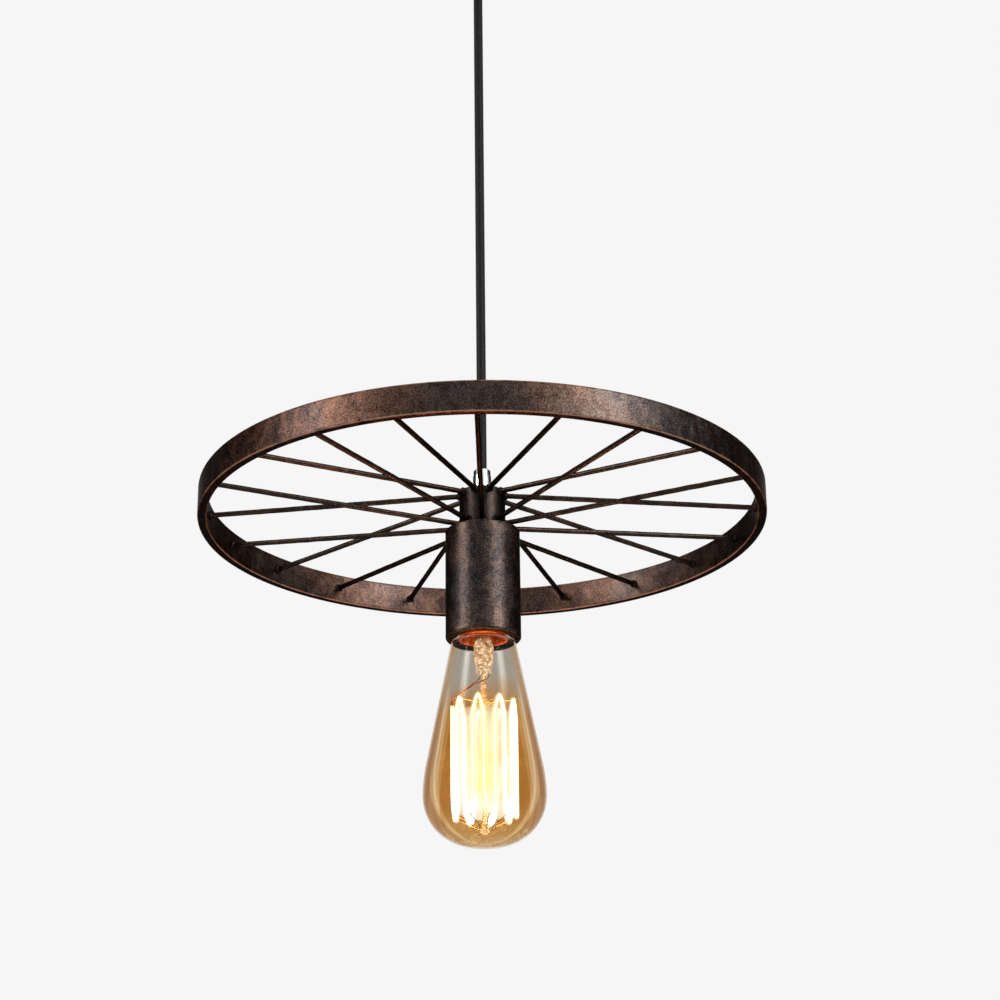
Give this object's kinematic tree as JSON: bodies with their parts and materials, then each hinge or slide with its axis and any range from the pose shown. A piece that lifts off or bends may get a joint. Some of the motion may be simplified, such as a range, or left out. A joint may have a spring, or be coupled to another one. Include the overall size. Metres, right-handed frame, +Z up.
{
  "type": "pendant light",
  "caption": "Ceiling pendant: a canopy and cord carry a spoked iron wheel, with a socket cup and a long squirrel-cage bulb under its hub.",
  "frame": {"origin": "centre of the ceiling mounting plane, on the bracket's upper face", "axes": "+Z up into the ceiling, along the cord; +X along the bracket; -Y towards the viewer"},
  "size_m": [0.305, 0.305, 0.5776],
  "materials": {
    "aged_bronze": "hammered dark bronze paint rubbed back to copper on its edges",
    "dark_spoke": "dark bronze paint, satin",
    "black_canopy": "satin black",
    "black_cord": "black round sheath, satin",
    "chrome_grip": "polished",
    "zinc_steel": "zinc plated",
    "black_rubber": "matte",
    "black_holder": "moulded, semi gloss",
    "white_block": "moulded",
    "brass": "bright",
    "cap_brass": "rolled",
    "cap_black": "black insulating glass",
    "solder": "dull",
    "amber_glass": "clear with an amber tint",
    "stem_glass": "clear",
    "filament_glow": "glowing wire",
    "support_wire": "drawn wire",
    "copper_lead": "coppery drawn wire",
    "brown_core": "brown insulation",
    "blue_core": "blue insulation",
    "earth_core": "green and yellow insulation"
  },
  "bodies": {
    "ceiling_set": {"ceiling_bracket": "zinc_steel", "canopy": "black_canopy", "canopy_side_screws": "black_canopy", "canopy_grip": "black_canopy", "canopy_grip_nut": "zinc_steel", "canopy_grip_set_screw": "zinc_steel", "cord_tail": "black_cord", "terminal_block": "white_block", "terminal_tunnels": "brass", "terminal_block_screws": "zinc_steel", "earth_screw": "brass", "core_live": "brown_core", "core_neutral": "blue_core", "core_earth": "earth_core"},
    "upper_bush": {"canopy_grip_bush": "black_rubber"},
    "hanging_cord": {"cord": "black_cord"},
    "lower_bush": {"hub_grip_bush": "black_rubber"},
    "wheel": {"rim": "aged_bronze", "spoke_01": "dark_spoke", "spoke_02": "dark_spoke", "spoke_03": "dark_spoke", "spoke_04": "dark_spoke", "spoke_05": "dark_spoke", "spoke_06": "dark_spoke", "spoke_07": "dark_spoke", "spoke_08": "dark_spoke", "spoke_09": "dark_spoke", "spoke_10": "dark_spoke", "spoke_11": "dark_spoke", "spoke_12": "dark_spoke", "spoke_13": "dark_spoke", "spoke_14": "dark_spoke", "spoke_15": "dark_spoke", "spoke_16": "dark_spoke", "spoke_17": "dark_spoke", "spoke_18": "dark_spoke", "spoke_19": "dark_spoke", "spoke_20": "dark_spoke", "weld_beads": "dark_spoke", "hub": "aged_bronze", "hub_grip": "chrome_grip", "hub_grip_set_screw": "zinc_steel", "cord_end": "black_cord", "threaded_tube": "zinc_steel", "cup_nut": "zinc_steel", "socket_cup": "aged_bronze", "lampholder_bracket": "zinc_steel", "lampholder_body": "black_holder", "lampholder_terminal_screws": "brass", "lamp_cores": "brown_core", "screw_shell": "brass", "centre_contact": "brass"},
    "bulb_tip": {"bulb_tip_contact": "solder"},
    "bulb": {"bulb_cap": "cap_brass", "bulb_cap_insulator": "cap_black", "bulb_glass": "amber_glass", "bulb_stem": "stem_glass", "filament": "filament_glow", "filament_supports": "support_wire", "filament_leads": "copper_lead"}
  },
  "joints": [
    {"name": "swing_front_back", "type": "hinge", "parent": "ceiling_set", "child": "upper_bush", "pos_m": [0, 0, -0.038], "axis": [1, 0, 0], "range_deg": [-25, 25]},
    {"name": "swing_left_right", "type": "hinge", "parent": "upper_bush", "child": "hanging_cord", "pos_m": [0, 0, -0.038], "axis": [0, 1, 0], "range_deg": [-25, 25]},
    {"name": "cord_twist", "type": "hinge", "parent": "hanging_cord", "child": "lower_bush", "pos_m": [0, 0, -0.374], "axis": [0, 0, 1], "range_deg": [-180, 180], "stiffness_Nm_per_rad": 0.002},
    {"name": "wheel_tilt", "type": "hinge", "parent": "lower_bush", "child": "wheel", "pos_m": [0, 0, -0.374], "axis": [0, 1, 0], "range_deg": [-15, 15]},
    {"name": "bulb_travel", "type": "slide", "parent": "wheel", "child": "bulb_tip", "axis": [0, 0, 1], "range_m": [-0.01643, 0]},
    {"name": "bulb_turn", "type": "hinge", "parent": "bulb_tip", "child": "bulb", "pos_m": [0, 0, -0.465], "axis": [0, 0, 1], "range_deg": [-1620, 0]}
  ],
  "couplings": [
    {"joint": "bulb_travel", "follows": "bulb_turn", "m_per_rad": 0.00057757}
  ]
}
